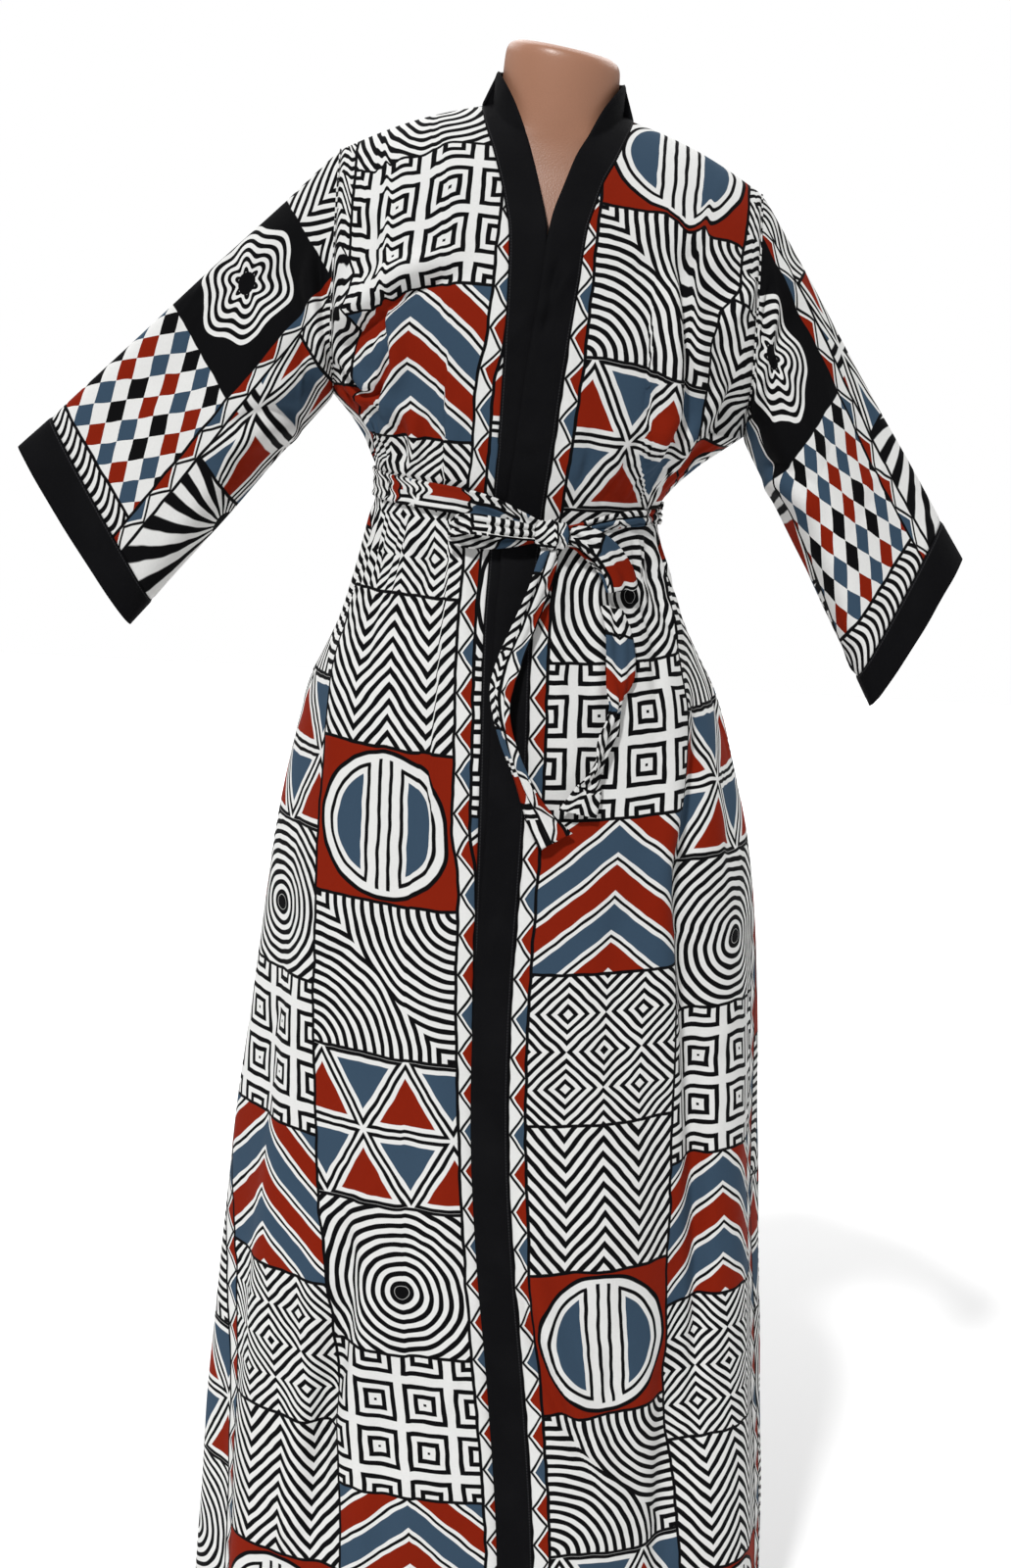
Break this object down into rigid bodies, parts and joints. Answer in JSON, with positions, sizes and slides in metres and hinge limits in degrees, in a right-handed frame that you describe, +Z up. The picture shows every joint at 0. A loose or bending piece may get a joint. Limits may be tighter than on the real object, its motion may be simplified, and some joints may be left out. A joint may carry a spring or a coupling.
{
  "type": "kimono robe on a dress form",
  "caption": "Long open-front kimono robe with wide sleeves, a plain front band and a tied sash, shown worn on a limbless dress form that stands on the floor.",
  "frame": {"origin": "on the floor at the centre of the dress form's round base", "axes": "+Z up along the pole; the robe's front faces -Y; +X is towards the wearer's left"},
  "size_m": [0.9265, 0.4042, 1.6478],
  "materials": {
    "print": "matt printed cotton",
    "trim": "matt plain cotton",
    "form": "satin skin tone",
    "stand": "satin black"
  },
  "bodies": {
    "root": {"front_right": "print", "front_left": "print", "back": "print", "sleeve_right": "print", "sleeve_left": "print", "sash_waist": "print", "sash_knot": "print", "sash_loop_right": "print", "sash_loop_left": "print", "sash_tail_right": "print", "sash_tail_left": "print", "band_right": "trim", "band_left": "trim", "cuff_right": "trim", "cuff_left": "trim", "form_torso": "form", "form_pole": "stand", "form_base": "stand"}
  },
  "joints": []
}
